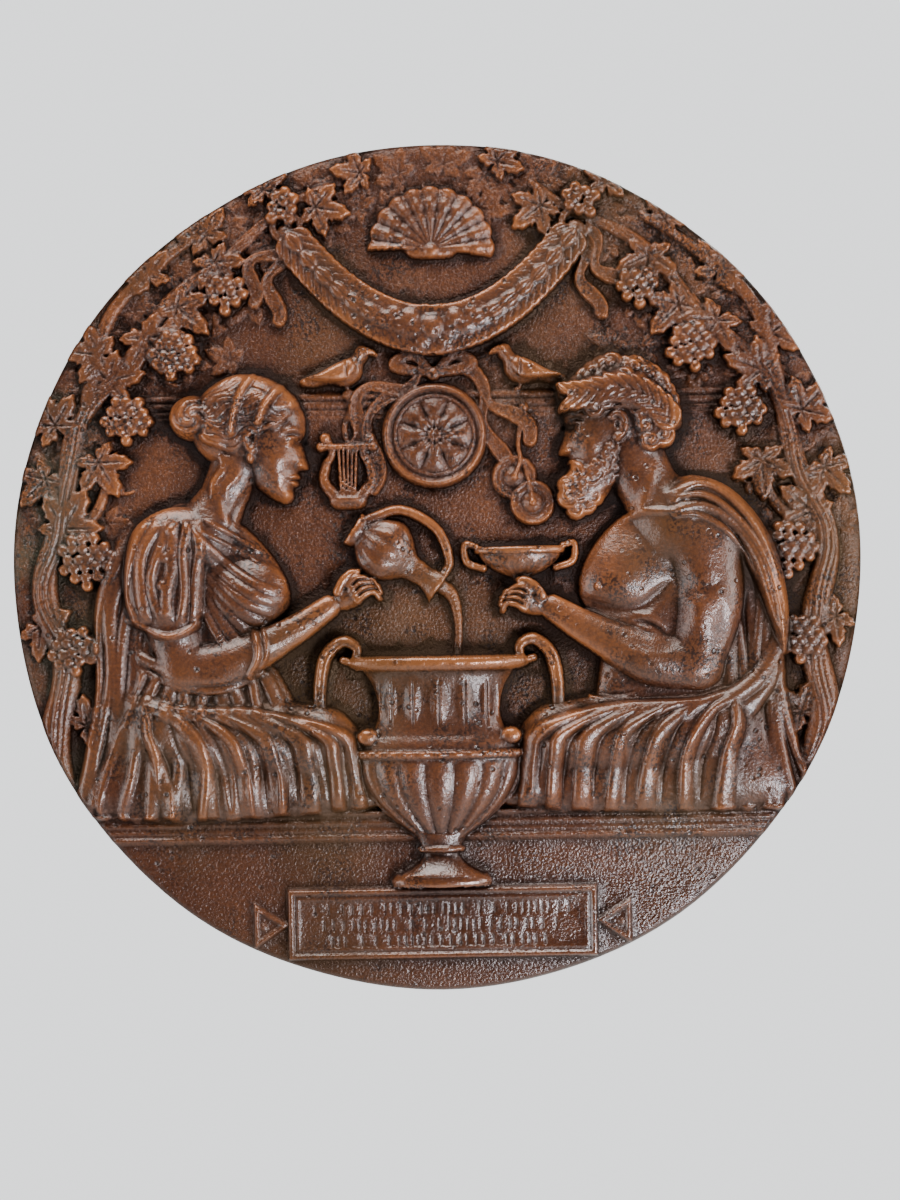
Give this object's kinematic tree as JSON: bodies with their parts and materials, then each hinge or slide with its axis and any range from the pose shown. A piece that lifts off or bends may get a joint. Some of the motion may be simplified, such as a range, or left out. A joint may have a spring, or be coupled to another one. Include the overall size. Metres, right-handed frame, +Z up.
{
  "type": "relief roundel",
  "caption": "Round cast relief plaque with facing seated figures at a krater, vines above and a framed tablet on the ledge below; it hangs flat against a wall.",
  "frame": {"origin": "centre of the flat back, where the plaque lies against a wall", "axes": "+Z up as the scene on it reads, the relief faces -Y, and +Y points into the wall"},
  "size_m": [0.1801, 0.0123, 0.1799],
  "materials": {
    "bronze": "brown patina, waxed"
  },
  "bodies": {
    "root": {"relief_roundel": "bronze"}
  },
  "joints": []
}
